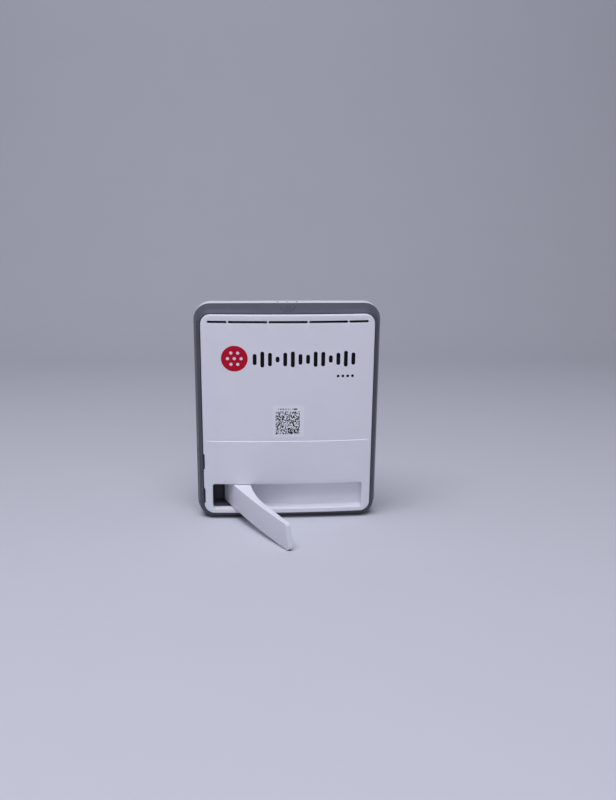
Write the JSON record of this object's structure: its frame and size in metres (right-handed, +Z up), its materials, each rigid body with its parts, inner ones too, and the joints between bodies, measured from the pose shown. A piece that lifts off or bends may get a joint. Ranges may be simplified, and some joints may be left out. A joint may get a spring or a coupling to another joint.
{
  "type": "launch monitor",
  "caption": "Slab-shaped portable radar sensor with a rubber bumper round its rim, standing leaned back with a side-hinged plank leg swung out of a recess in its back.",
  "frame": {"origin": "on the bumper's flat base, midway across and 1.9 mm in front of its rear edge, on the surface that the monitor stands on", "axes": "+Z up from the surface, +X to the right seen from behind, +Y towards what the radar window looks at; the body leans back 7.24 degrees, its top towards -Y, and the leg stands out towards -Y"},
  "size_m": [0.112, 0.0833, 0.1359],
  "materials": {
    "white_shell": "fine satin moulded ABS/PC",
    "bumper_rubber": "matt moulded TPE",
    "dark_plastic": "matt moulded",
    "label": "printed polyester film",
    "circuit_board": "solder resist",
    "steel": "plain",
    "aluminium": "mill finish",
    "battery_wrap": "shrink wrap",
    "polyimide": "film",
    "acetal": "moulded",
    "light_pipe": "clear polished"
  },
  "bodies": {
    "body": {"back_shell": "white_shell", "leg_well": "white_shell", "tail_pocket": "dark_plastic", "bumper_band": "bumper_rubber", "front_cover": "white_shell", "chassis_frame": "dark_plastic", "vent_mesh": "dark_plastic", "label_plate": "label", "main_board": "circuit_board", "shield_can": "steel", "heat_spreader": "aluminium", "battery_pack": "battery_wrap", "antenna_board": "circuit_board", "flex_cable": "polyimide", "usb_socket": "steel", "button_board": "circuit_board", "power_switch": "dark_plastic", "hinge_pin": "steel", "hinge_bush_lower": "acetal", "hinge_bush_upper": "acetal", "status_light_1": "light_pipe", "status_light_2": "light_pipe", "status_light_3": "light_pipe", "board_screw_1": "steel", "case_screw_1": "steel", "board_screw_2": "steel", "case_screw_2": "steel", "board_screw_3": "steel", "case_screw_3": "steel", "board_screw_4": "steel", "case_screw_4": "steel"},
    "leg": {"kickstand_leg": "white_shell", "foot_pad": "bumper_rubber"},
    "button": {"power_button": "bumper_rubber"},
    "door": {"port_door": "bumper_rubber"}
  },
  "joints": [
    {"name": "leg_hinge", "type": "hinge", "parent": "body", "child": "leg", "pos_m": [-0.0286, -0.00128, 0.01639], "axis": [0, -0.126, 0.992], "range_deg": [0, 63]},
    {"name": "button_press", "type": "slide", "parent": "body", "child": "button", "axis": [0, 0.4577, -0.8891], "range_m": [0, 0.0005], "stiffness_N_per_m": 600},
    {"name": "door_hinge", "type": "hinge", "parent": "body", "child": "door", "pos_m": [-0.0556, -0.0016, 0.0102], "axis": [0, -0.992, -0.126], "range_deg": [0, 95]}
  ]
}
